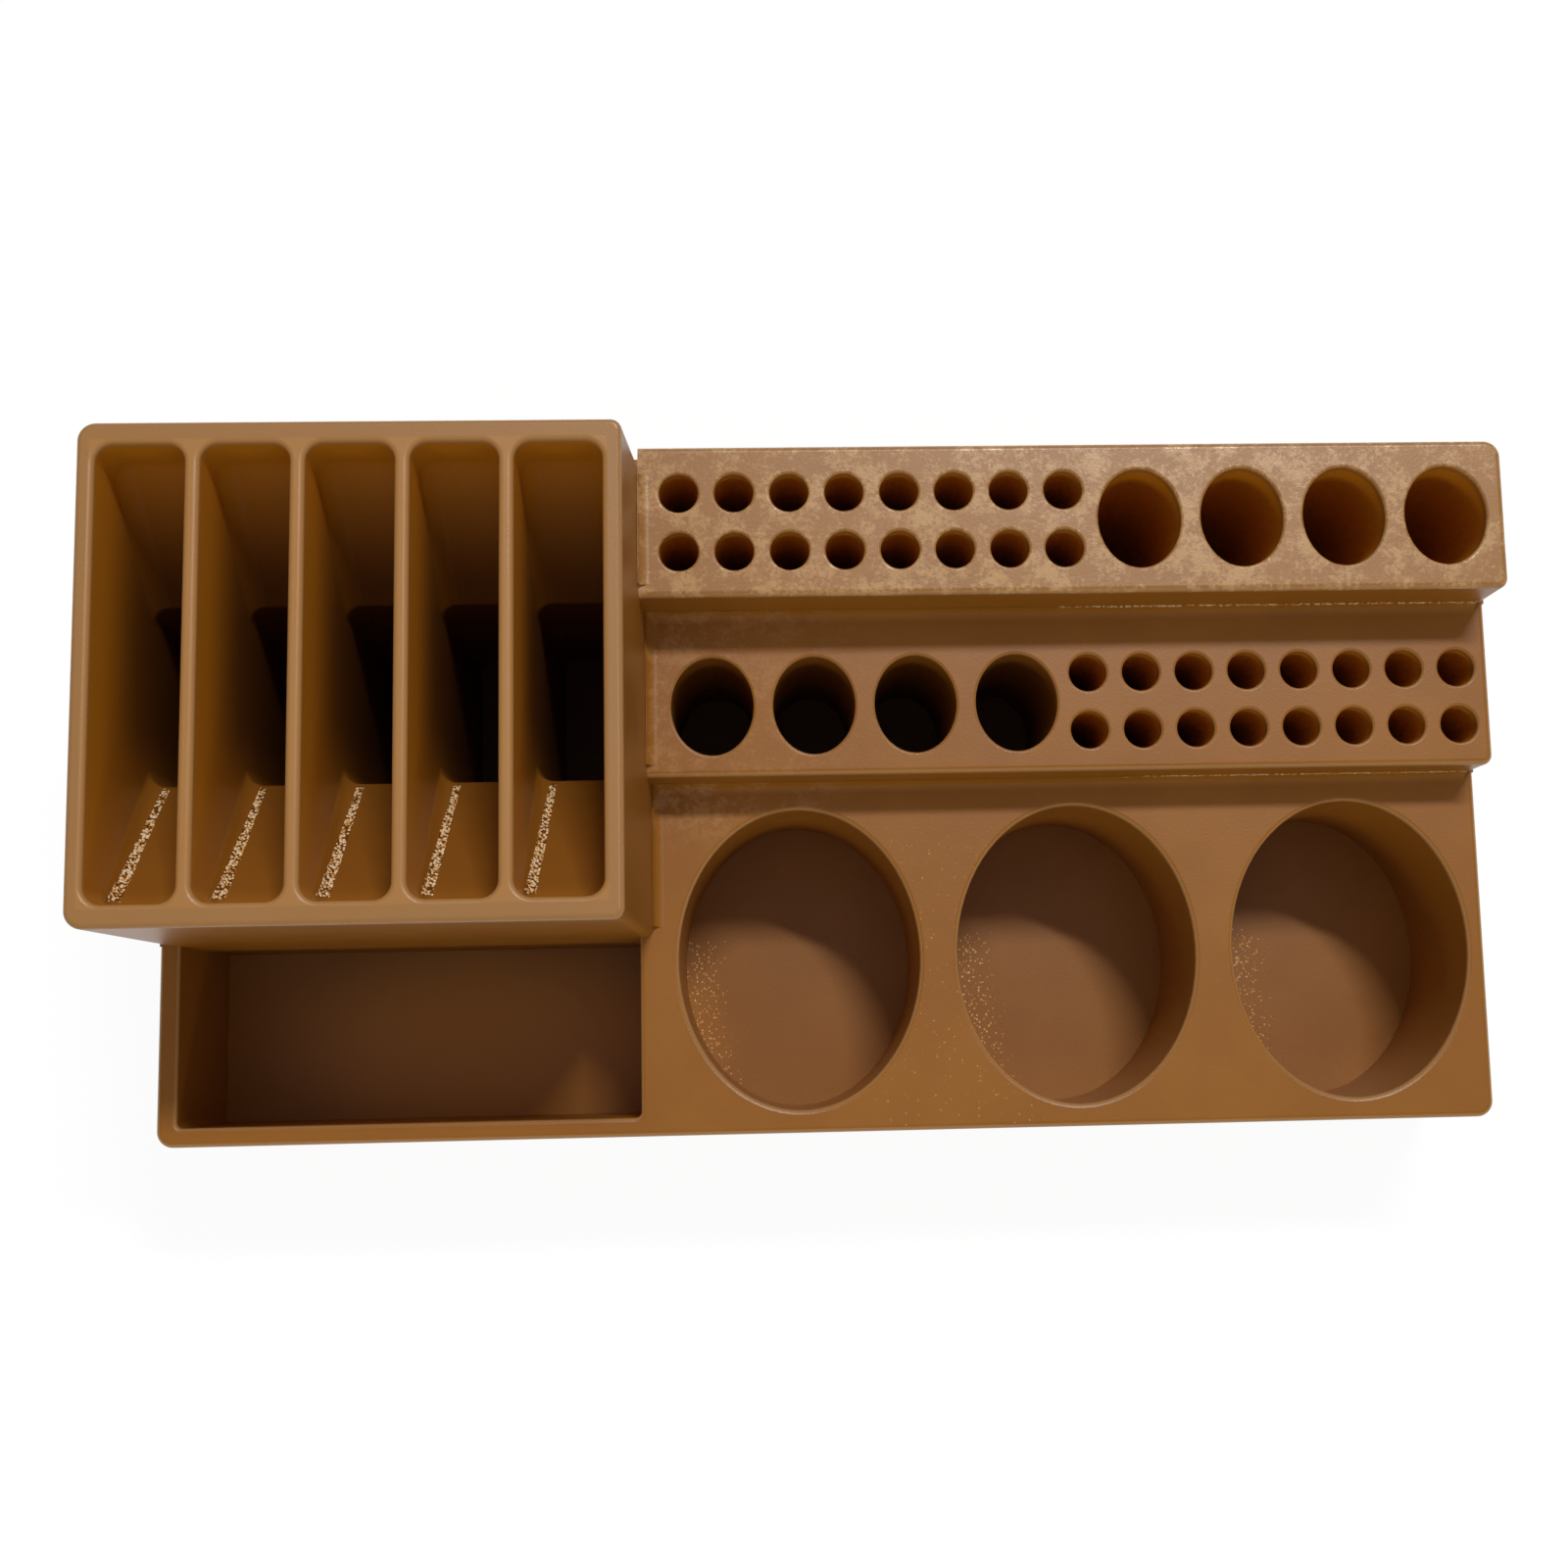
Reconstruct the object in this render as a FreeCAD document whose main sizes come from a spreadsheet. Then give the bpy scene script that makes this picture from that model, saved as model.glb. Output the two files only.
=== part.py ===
import FreeCAD, Part
import os
import re

import Sketcher
from FreeCAD import Vector

# Stepped tool caddy: a five-slot pliers box, two drilled racks and a cup and tray frame stand
# side by side on one floor plate, which closes every slot, hole, cup and tray from below.
# Millimetres, +Z up and +Y at the back. The feet stand on Z = 0, and X = Y = 0 is the middle.

doc = FreeCAD.newDocument("ToolCaddy")
sheet = doc.addObject("Spreadsheet::Sheet", "Dims")
names = []


def set_sizes(sizes):
    """Write named cells: a driving size is a plain number, a derived one a formula."""
    for name, content in sizes.items():
        names.append(name)
        row = len(names)
        sheet.set(f"A{row}", name)
        sheet.set(f"B{row}", str(content))
        sheet.setAlias(f"B{row}", name)


# Driving sizes: the level of each step above the one below it, and the floor plate
set_sizes({
    "front_height": 36,
    "middle_rise": 11.6,
    "upper_rise": 14.2,
    "box_rise": 28.5,
    "plate_thick": 3,
    "plate_chamfer": 0.3,
})

# Driving sizes: the pliers box, whose right and back walls lean in towards the top
set_sizes({
    "box_right_lean": 3.1,
    "box_back_lean": 3.65,
    "box_left_wall": 3.1,
    "box_right_wall": 3.4,
    "box_front_wall": 4.1,
    "box_back_wall": 3.95,
    "slot_count": 5,
    "slot_width": 15.6,
    "slot_length": 80.7,
    "divider_thick": 2.6,
    "ramp_start": 12,
    "ramp_end": 36,
    "front_ramp_run": 25,
    "throat_length": 34.5,
    "core_wall": 2.5,
    "ramp_skin": 3.6,
})

# Driving sizes: the holes of the two racks, the plastic between them and at the ends of a row
set_sizes({
    "small_hole": 7.5,
    "small_web": 3.08,
    "small_row_web": 3.95,
    "small_columns": 8,
    "small_rows": 2,
    "large_width": 16.2,
    "large_length": 19.5,
    "large_web": 3.8,
    "large_count": 4,
    "upper_left_margin": 1.85,
    "upper_group_gap": 2.89,
    "upper_right_margin": 3.5,
    "upper_front_margin": 4.85,
    "upper_back_margin": 5.15,
    "middle_left_margin": 3.1,
    "middle_group_gap": 2.4,
    "middle_right_margin": 2.65,
    "middle_front_margin": 4.15,
    "middle_back_margin": 8.85,
})

# Driving sizes: the cup and tray frame
set_sizes({
    "tray_side_wall": 3.9,
    "tray_front_wall": 3.7,
    "tray_end_wall": 4,
    "deck_thick": 3,
    "frame_wall": 3,
    "cup_width": 48,
    "cup_length": 59.6,
    "cup_web": 7.5,
    "cup_count": 3,
    "cup_wall": 2.2,
    "cup_left_margin": 3.6,
    "cup_right_margin": 3.35,
    "cup_front_margin": 4.45,
    "cup_back_margin": 5.45,
})

# Driving sizes: rounded edges and corners, and the hollow fillet at the foot of each riser
set_sizes({
    "corner_round": 3.2,
    "step_corner": 2,
    "edge_round": 1.2,
    "hole_round": 0.5,
    "cup_round": 0.9,
    "slot_corner": 3.2,
    "slot_round": 1,
    "ramp_round": 4,
    "throat_round": 1,
    "tray_corner": 1.2,
    "cove_round": 2,
    "lip_thick": 0.1,
    "lip_height": 2.2,
})

# Driving sizes: screws, bosses and feet
set_sizes({
    "screw_shank": 2.9,
    "screw_head": 5.6,
    "screw_length": 12,
    "screw_gap": 0.1,
    "pilot_spare": 2,
    "recess_width": 0.8,
    "recess_length": 3,
    "recess_depth": 1,
    "boss_diameter": 8,
    "boss_height": 16,
    "boss_sink": 1,
    "boss_offset": 22,
    "foot_diameter": 12,
    "foot_thick": 2.5,
    "foot_proud": 1.5,
    "foot_gap": 0.15,
    "foot_inset": 14,
    "foot_round": 0.4,
})

# Derived sizes: pitches, the box round its slots, and racks long enough for their fullest row
set_sizes({
    "slot_pitch": "=slot_width + divider_thick",
    "small_pitch": "=small_hole + small_web",
    "small_row_pitch": "=small_hole + small_row_web",
    "large_pitch": "=large_width + large_web",
    "cup_pitch": "=cup_width + cup_web",
    "slots_width": "=slot_pitch * slot_count - divider_thick",
    "small_group": "=small_pitch * small_columns - small_web",
    "large_group": "=large_pitch * large_count - large_web",
    "cup_group": "=cup_pitch * cup_count - cup_web",
    "hole_groups": "=small_group + large_group",
    "upper_row": "=upper_left_margin + hole_groups + upper_group_gap + upper_right_margin",
    "middle_row": "=middle_left_margin + hole_groups + middle_group_gap + middle_right_margin",
    "cup_row": "=cup_left_margin + cup_group + cup_right_margin",
    "rack_length": "=max(upper_row; middle_row; cup_row)",
    "box_width": "=box_left_wall + slots_width + box_right_wall + box_right_lean",
    "box_depth": "=box_front_wall + slot_length + box_back_wall + box_back_lean",
    "small_rows_depth": "=small_row_pitch * small_rows - small_row_web",
    "holes_depth": "=max(large_length; small_rows_depth)",
    "upper_depth": "=upper_front_margin + holes_depth + upper_back_margin",
    "middle_depth": "=middle_front_margin + holes_depth + middle_back_margin",
    "front_depth": "=cup_front_margin + cup_length + cup_back_margin",
    "overall_width": "=box_width + rack_length",
    "overall_depth": "=upper_depth + middle_depth + front_depth",
})

# Derived places: the faces and levels that neighbouring pieces share
set_sizes({
    "left_face": "=-overall_width / 2",
    "right_face": "=overall_width / 2",
    "back_face": "=overall_depth / 2",
    "front_face": "=-overall_depth / 2",
    "upper_front": "=back_face - upper_depth",
    "middle_front": "=upper_front - middle_depth",
    "plate_bottom": "=foot_proud",
    "plate_top": "=plate_bottom + plate_thick",
    "front_top": "=plate_top + front_height",
    "middle_top": "=front_top + middle_rise",
    "upper_top": "=middle_top + upper_rise",
    "box_top": "=upper_top + box_rise",
    "box_height": "=box_top - plate_top",
    "box_front": "=back_face - box_depth",
    "box_right": "=left_face + box_width",
})

# Derived places: slots, ramps and the hollow cores under the ramps
set_sizes({
    "slot_left": "=left_face + box_left_wall",
    "slot_front": "=box_front + box_front_wall",
    "slot_back": "=slot_front + slot_length",
    "ramp_top": "=box_top - ramp_start",
    "ramp_foot": "=box_top - ramp_end",
    "throat_front": "=slot_front + front_ramp_run",
    "throat_back": "=throat_front + throat_length",
    "core_front": "=slot_front - core_wall / 2",
    "core_back": "=slot_back + core_wall / 2",
    "core_right": "=slot_left + slots_width",
    "core_high": "=ramp_top - ramp_skin",
    "core_low": "=ramp_foot + core_wall - ramp_skin",
})

# Derived places: hole rows, cups, the tray's end and the fixings
set_sizes({
    "upper_line": "=upper_front + upper_front_margin + holes_depth / 2",
    "middle_line": "=middle_front + middle_front_margin + holes_depth / 2",
    "upper_small_first": "=box_right + upper_left_margin + small_hole / 2",
    "upper_large_first": "=right_face - upper_right_margin - large_group + large_width / 2",
    "middle_large_first": "=box_right + middle_left_margin + large_width / 2",
    "middle_small_first": "=right_face - middle_right_margin - small_group + small_hole / 2",
    "large_fixing": "=large_length / 2 + screw_shank / 4",
    "cup_first": "=right_face - cup_right_margin - cup_group + cup_width / 2",
    "cup_centre": "=front_face + cup_front_margin + cup_length / 2",
    "tray_right": "=box_right - tray_end_wall",
    "boss_front": "=core_front + boss_diameter / 2 - boss_sink",
    "boss_back": "=core_back - boss_diameter / 2 + boss_sink",
    "screw_hole": "=screw_shank + 2 * screw_gap",
    "pilot_depth": "=screw_length - plate_thick + pilot_spare",
    "sink_size": "=(screw_head - screw_shank) / 2",
    "foot_recess": "=foot_thick - foot_proud",
})
doc.recompute()
ALIAS = re.compile(r"\b(" + "|".join(names) + r")\b")
TOLERANCE = 1e-4


def value(expression):
    """What an expression on the named sizes comes to."""
    return float(sheet.evalExpression(expression))


def bind(item, setting, expression):
    """Tie one setting of a feature to the named sizes."""
    item.setExpression(setting, ALIAS.sub(r"Dims.\1", expression))


def new_body(label):
    body = doc.addObject("PartDesign::Body", label)
    body.Label = label
    return body


def sketch_on(body, name, plane, offset="0"):
    """A sketch on one of the body's own origin planes, moved along that plane's normal."""
    sketch = body.newObject("Sketcher::SketchObject", name)
    support = next(item for item in body.Origin.OriginFeatures if item.Role == plane)
    sketch.AttachmentSupport = [(support, "")]
    sketch.MapMode = "FlatFace"
    bind(sketch, "AttachmentOffset.Base.z", offset)
    return sketch


def hold(sketch, kind, size, *where):
    """Add a dimension to a sketch and tie it to the named sizes."""
    index = sketch.addConstraint(Sketcher.Constraint(kind, *where, value(size)))
    bind(sketch, f"Constraints[{index}]", size)


def hold_point(sketch, geometry, end, place):
    """Fix one point of a sketch at a place given as two expressions."""
    hold(sketch, "DistanceX", place[0], -1, 1, geometry, end)
    hold(sketch, "DistanceY", place[1], -1, 1, geometry, end)


def polygon(sketch, corners):
    """A closed outline of straight lines through corners given as expressions."""
    points = [Vector(value(across), value(along), 0) for across, along in corners]
    ends = points[1:] + points[:1]
    lines = [sketch.addGeometry(Part.LineSegment(*pair)) for pair in zip(points, ends)]
    for line, following in zip(lines, lines[1:] + lines[:1]):
        sketch.addConstraint(Sketcher.Constraint("Coincident", line, 2, following, 1))
    for line, corner in zip(lines, corners):
        hold_point(sketch, line, 1, corner)


def rectangle(sketch, left, right, near, far):
    polygon(sketch, [(left, near), (right, near), (right, far), (left, far)])


def circles(sketch, centres, diameter):
    for centre in centres:
        middle = Vector(value(centre[0]), value(centre[1]), 0)
        circle = sketch.addGeometry(Part.Circle(middle, Vector(0, 0, 1), value(diameter) / 2))
        hold_point(sketch, circle, 3, centre)
        hold(sketch, "Diameter", diameter, circle)


def ovals(sketch, centres, width, length):
    """Ellipses that are longer from front to back than they are wide."""
    for centre in centres:
        middle = Vector(value(centre[0]), value(centre[1]), 0)
        far_end = middle + Vector(0, value(length) / 2, 0)
        side = middle + Vector(value(width) / 2, 0, 0)
        oval = sketch.addGeometry(Part.Ellipse(far_end, side, middle))
        sketch.exposeInternalGeometry(oval)
        long_axis = oval + 1
        short_axis = oval + 2
        sketch.addConstraint(Sketcher.Constraint("Vertical", long_axis))
        hold_point(sketch, oval, 3, centre)
        hold(sketch, "Distance", length, long_axis)
        hold(sketch, "Distance", width, short_axis)


def pad(body, name, sketch, length):
    """Extrude a sketch along its normal."""
    feature = body.newObject("PartDesign::Pad", name)
    feature.Profile = sketch
    bind(feature, "Length", length)
    doc.recompute()
    return feature


def loft(body, name, low_sketch, high_sketch):
    """A solid with flat sides between two outlines."""
    feature = body.newObject("PartDesign::AdditiveLoft", name)
    feature.Profile = low_sketch
    feature.Sections = [high_sketch]
    feature.Ruled = True
    doc.recompute()
    return feature


def pocket(body, name, sketch, depth=None, upward=True):
    """Cut a sketch out of the body, right through if no depth is given."""
    before = body.Shape.Volume
    feature = body.newObject("PartDesign::Pocket", name)
    feature.Profile = sketch
    feature.Reversed = upward
    if depth:
        bind(feature, "Length", depth)
    else:
        feature.Type = "ThroughAll"
    doc.recompute()
    if body.Shape.Volume > before - TOLERANCE:
        raise ValueError(f"{name} cuts nothing")
    return feature


def edges_at(body, x=None, y=None, z=None, curved=None):
    """Names of the body's edges that lie wholly at the places given as expressions."""
    found = []
    for number, edge in enumerate(body.Shape.Edges, 1):
        box = edge.BoundBox
        spans = ((x, box.XMin, box.XMax), (y, box.YMin, box.YMax), (z, box.ZMin, box.ZMax))
        fits = all(max(abs(low - value(place)), abs(high - value(place))) < TOLERANCE
                   for place, low, high in spans if place)
        straight = edge.Curve.TypeId == "Part::GeomLine"
        if fits and curved in (None, not straight):
            found.append(f"Edge{number}")
    return found


def edges_along(body, start, end):
    """Names of the edges on the straight line between two places, each given as expressions."""
    line = Part.makeLine(*(Vector(*(value(part) for part in place)) for place in (start, end)))
    found = []
    for number, edge in enumerate(body.Shape.Edges, 1):
        ends = [line.distToShape(vertex)[0] for vertex in edge.Vertexes]
        if len(ends) == 2 and max(ends) < TOLERANCE:
            found.append(f"Edge{number}")
    return found


def rims_at(body, level):
    """Names of the closed curved edges at one level, such as the mouths of holes."""
    return [name for name in edges_at(body, z=level, curved=True) if body.Shape.getElement(name).Closed]


def dress(body, kind, name, edges, size):
    """Round or chamfer the named edges of the body."""
    if not edges:
        raise ValueError(f"{name} finds no edge")
    base = body.Tip
    feature = body.newObject(f"PartDesign::{kind}", name)
    feature.Base = (base, edges)
    bind(feature, "Radius" if kind == "Fillet" else "Size", size)
    doc.recompute()
    if "Invalid" in feature.State:
        raise ValueError(f"{name} cannot be made")
    return feature


def step(first, pitch, number):
    """The place of one of a row of things that stand a pitch apart."""
    return f"({first} + {pitch} * {number})"


def row_of(first, pitch, count, along):
    """The centres of a row of holes from left to right."""
    return [(step(first, pitch, number), along) for number in range(int(value(count)))]


def small_grid(first, line):
    """The centres of the small holes: columns from left to right, rows about a line."""
    centres = []
    for number in range(int(value("small_rows"))):
        along = f"({line} + small_row_pitch * ({number} - (small_rows - 1) / 2))"
        centres += row_of(first, "small_pitch", "small_columns", along)
    return centres


def slot_centre(number):
    return step("(slot_left + slot_width / 2)", "slot_pitch", number)


# Where the screws go: under the slots next to the end ones, among each rack's holes, between the cups
box_fixings = [(slot_centre(number), along)
               for number in ("1", "(slot_count - 2)")
               for along in ("boss_front", "boss_back")]
upper_fixings = [(step("upper_small_first", "small_pitch", 0.5), "upper_line"),
                 (step("upper_small_first", "small_pitch", "(small_columns - 1.5)"), "upper_line"),
                 (step("upper_large_first", "large_pitch", "(large_count - 1.5)"),
                  "(upper_line - large_fixing)")]
middle_fixings = [(step("middle_small_first", "small_pitch", 0.5), "middle_line"),
                  (step("middle_small_first", "small_pitch", "(small_columns - 1.5)"), "middle_line"),
                  (step("middle_large_first", "large_pitch", 0.5), "(middle_line + large_fixing)")]
frame_fixings = [(step("cup_first", "cup_pitch", number + 0.5), f"(cup_centre + {side} * boss_offset)")
                 for number in range(int(value("cup_count")) - 1)
                 for side in (-1, 1)]
all_fixings = box_fixings + upper_fixings + middle_fixings + frame_fixings
feet = {f"foot_{end}_{side}": (across, along)
        for end, along in (("front", "(front_face + foot_inset)"), ("back", "(back_face - foot_inset)"))
        for side, across in (("left", "(left_face + foot_inset)"), ("right", "(right_face - foot_inset)"))}


def pilot_holes(body, centres):
    """Blind holes in the underside of a moulding, a little wider than the screws."""
    sketch = sketch_on(body, "pilot_sketch", "XY_Plane", "plate_top")
    circles(sketch, centres, "screw_hole")
    pocket(body, "pilot_holes", sketch, "pilot_depth")


def build_base_plate():
    """The floor plate, with countersunk screw holes and recesses for the feet."""
    body = new_body("base_plate")
    outline = sketch_on(body, "plate_sketch", "XY_Plane", "plate_bottom")
    rectangle(outline, "left_face", "right_face", "front_face", "back_face")
    pad(body, "plate", outline, "plate_thick")
    corners = [name
               for across in ("left_face", "right_face")
               for along in ("front_face", "back_face")
               for name in edges_at(body, x=across, y=along)]
    dress(body, "Fillet", "plate_corners", corners, "corner_round")
    outer_edges = edges_at(body, z="plate_bottom") + edges_at(body, z="plate_top")
    dress(body, "Chamfer", "plate_edges", outer_edges, "plate_chamfer")
    shanks = sketch_on(body, "shank_sketch", "XY_Plane", "plate_bottom")
    circles(shanks, all_fixings, "screw_hole")
    pocket(body, "shank_holes", shanks)
    dress(body, "Chamfer", "countersinks", rims_at(body, "plate_bottom"), "sink_size")
    recesses = sketch_on(body, "recess_sketch", "XY_Plane", "plate_bottom")
    circles(recesses, feet.values(), "(foot_diameter + 2 * foot_gap)")
    pocket(body, "foot_recesses", recesses, "foot_recess")
    return body


def build_foot(label, centre):
    """A rubber disc seated in its recess, with the edge it stands on rounded."""
    body = new_body(label)
    disc = sketch_on(body, f"{label}_sketch", "XY_Plane")
    circles(disc, [centre], "foot_diameter")
    pad(body, f"{label}_disc", disc, "foot_thick")
    dress(body, "Fillet", f"{label}_edge", edges_at(body, z="0", curved=True), "foot_round")
    return body


def box_right_at(level):
    """Where the leaning right wall of the pliers box stands at a level."""
    return f"(box_right - box_right_lean * ({level} - plate_top) / box_height)"


def box_back_at(level):
    """Where the leaning back wall of the pliers box stands at a level."""
    return f"(back_face - box_back_lean * ({level} - plate_top) / box_height)"


def box_storey(body, name, low, high):
    """One storey of the box between two levels, with its walls on the same leaning planes."""
    outlines = []
    for level in (low, high):
        outline = sketch_on(body, f"{name}_{level}_sketch", "XY_Plane", level)
        rectangle(outline, "left_face", box_right_at(level), "box_front", box_back_at(level))
        outlines.append(outline)
    loft(body, name, *outlines)


def round_upright(body, side, end, low):
    """Round one upright corner of the box from a level up to its top."""
    corners = [("left_face" if side == "left" else box_right_at(level),
                "box_front" if end == "front" else box_back_at(level),
                level) for level in (low, "box_top")]
    size = "corner_round" if side == "left" else "step_corner"
    dress(body, "Fillet", f"{side}_{end}_upright", edges_along(body, *corners), size)


def box_core(body, name, wall, throat, direction):
    """The hollow under one row of ramps, open below: its roof keeps the ramp's slope."""
    inner = f"({throat} {direction} core_wall)"
    sketch = sketch_on(body, f"{name}_sketch", "YZ_Plane", "core_right")
    polygon(sketch, [(wall, "0"), (wall, "core_high"), (inner, "core_low"), (inner, "0")])
    pocket(body, name, sketch, "(core_right - slot_left)", upward=False)


def build_pliers_box():
    """The tall box: five slots, each with a ramp at both ends down to a deep throat."""
    body = new_body("pliers_box")
    box_storey(body, "top_storey", "upper_top", "box_top")
    round_upright(body, "right", "back", "upper_top")
    box_storey(body, "deck_storey", "front_top", "upper_top")
    round_upright(body, "left", "front", "front_top")
    round_upright(body, "right", "front", "front_top")
    box_storey(body, "floor_storey", "plate_top", "front_top")
    round_upright(body, "left", "back", "plate_top")

    slot = sketch_on(body, "slot_sketch", "YZ_Plane", "(slot_left + slot_width)")
    polygon(slot, [("slot_front", "box_top"), ("slot_front", "ramp_top"),
                   ("throat_front", "ramp_foot"), ("throat_front", "plate_top"),
                   ("throat_back", "plate_top"), ("throat_back", "ramp_foot"),
                   ("slot_back", "ramp_top"), ("slot_back", "box_top")])
    first_slot = pocket(body, "first_slot", slot, "slot_width", upward=False)
    slots = body.newObject("PartDesign::LinearPattern", "slots")
    slots.Originals = [first_slot]
    slots.Direction = (next(item for item in body.Origin.OriginFeatures if item.Role == "X_Axis"), [""])
    bind(slots, "Length", "slot_pitch * (slot_count - 1)")
    bind(slots, "Occurrences", "slot_count")
    body.Tip = slots
    doc.recompute()

    bends = [name for along in ("slot_front", "slot_back")
             for name in edges_at(body, y=along, z="ramp_top")]
    dress(body, "Fillet", "ramp_bends", bends, "ramp_round")
    brinks = [name for along in ("throat_front", "throat_back")
              for name in edges_at(body, y=along, z="ramp_foot")]
    dress(body, "Fillet", "throat_brinks", brinks, "throat_round")
    sides = [place
             for number in range(int(value("slot_count")))
             for place in (step("slot_left", "slot_pitch", number),
                           step("(slot_left + slot_width)", "slot_pitch", number))]
    rim_edges = set(edges_at(body, z="box_top"))
    floor_edges = set(edges_at(body, z="plate_top"))
    walls = [name for place in sides for name in edges_at(body, x=place)
             if name not in rim_edges | floor_edges]
    dress(body, "Fillet", "slot_corners", walls, "slot_corner")

    box_core(body, "front_core", "core_front", "throat_front", "-")
    box_core(body, "back_core", "core_back", "throat_back", "+")
    bosses = sketch_on(body, "boss_sketch", "XY_Plane", "plate_top")
    circles(bosses, box_fixings, "boss_diameter")
    pad(body, "bosses", bosses, "boss_height")
    pilot_holes(body, box_fixings)

    dress(body, "Fillet", "top_edges", edges_at(body, z="box_top"), "slot_round")
    return body


def box_lip(body, level, near, far):
    """A thin upturned lip on a deck along the right wall of the pliers box."""
    sketch = sketch_on(body, "box_lip_sketch", "XY_Plane", level)
    wall = box_right_at(level)
    rectangle(sketch, wall, f"({wall} + lip_thick)", near, far)
    pad(body, "box_lip", sketch, "lip_height")


def box_foot_line(body, level):
    return edges_at(body, x=f"({box_right_at(level)} + lip_thick)", z=level)


def riser_lip(body, level, riser):
    """A thin upturned lip on a deck along the front of the next step up."""
    sketch = sketch_on(body, "riser_lip_sketch", "XY_Plane", level)
    rectangle(sketch, box_right_at(level), "(right_face - step_corner)", f"({riser} - lip_thick)", riser)
    pad(body, "riser_lip", sketch, "lip_height")


def riser_foot_line(body, level, riser):
    return edges_at(body, y=f"({riser} - lip_thick)", z=level)


def build_rack(label, near, far, lower_top, top, small_first, large_first, line, fixings):
    """One drilled step: a block whose left face follows the lean of the pliers box."""
    body = new_body(label)
    riser = sketch_on(body, "riser_sketch", "XZ_Plane", f"-{far}")
    polygon(riser, [(box_right_at(lower_top), lower_top), ("right_face", lower_top),
                    ("right_face", top), (box_right_at(top), top)])
    pad(body, "riser", riser, f"({far} - {near})")
    dress(body, "Fillet", "riser_corner", edges_at(body, x="right_face", y=near), "step_corner")
    block = sketch_on(body, "block_sketch", "XZ_Plane", f"-{far}")
    polygon(block, [("box_right", "plate_top"), ("right_face", "plate_top"),
                    ("right_face", lower_top), (box_right_at(lower_top), lower_top)])
    pad(body, "block", block, f"({far} - {near})")

    small = sketch_on(body, "small_sketch", "XY_Plane", "plate_top")
    circles(small, small_grid(small_first, line), "small_hole")
    pocket(body, "small_holes", small)
    large = sketch_on(body, "large_sketch", "XY_Plane", "plate_top")
    ovals(large, row_of(large_first, "large_pitch", "large_count", line), "large_width", "large_length")
    pocket(body, "large_holes", large)
    pilot_holes(body, fixings)
    dress(body, "Fillet", "hole_rims", rims_at(body, top), "hole_round")
    return body


def build_upper_rack():
    """The high step, whose back corner is rounded all the way down."""
    body = build_rack("upper_rack", "upper_front", "back_face", "middle_top", "upper_top",
                      "upper_small_first", "upper_large_first", "upper_line", upper_fixings)
    dress(body, "Fillet", "back_corner", edges_at(body, x="right_face", y="back_face"), "corner_round")
    front_edge = edges_at(body, y="upper_front", z="upper_top")
    back_edge = edges_at(body, y="back_face", z="upper_top")
    right_edge = edges_at(body, x="right_face", z="upper_top")
    dress(body, "Fillet", "top_edges", front_edge + back_edge + right_edge, "edge_round")
    lip_end = f"({box_back_at('box_top')} - step_corner)"
    box_lip(body, "upper_top", "(upper_front + 2 * edge_round)", lip_end)
    dress(body, "Fillet", "box_cove", box_foot_line(body, "upper_top"), "cove_round")
    return body


def build_middle_rack():
    """The second step, with a hollow fillet at the foot of the high step and of the box."""
    body = build_rack("middle_rack", "middle_front", "upper_front", "front_top", "middle_top",
                      "middle_small_first", "middle_large_first", "middle_line", middle_fixings)
    front_edge = edges_at(body, y="middle_front", z="middle_top")
    right_edge = edges_at(body, x="right_face", z="middle_top")
    dress(body, "Fillet", "top_edges", front_edge + right_edge, "edge_round")
    box_lip(body, "middle_top", "(middle_front + 2 * edge_round)", "upper_front")
    riser_lip(body, "middle_top", "upper_front")
    foot_lines = box_foot_line(body, "middle_top") + riser_foot_line(body, "middle_top", "upper_front")
    dress(body, "Fillet", "foot_coves", foot_lines, "cove_round")
    return body


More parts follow.
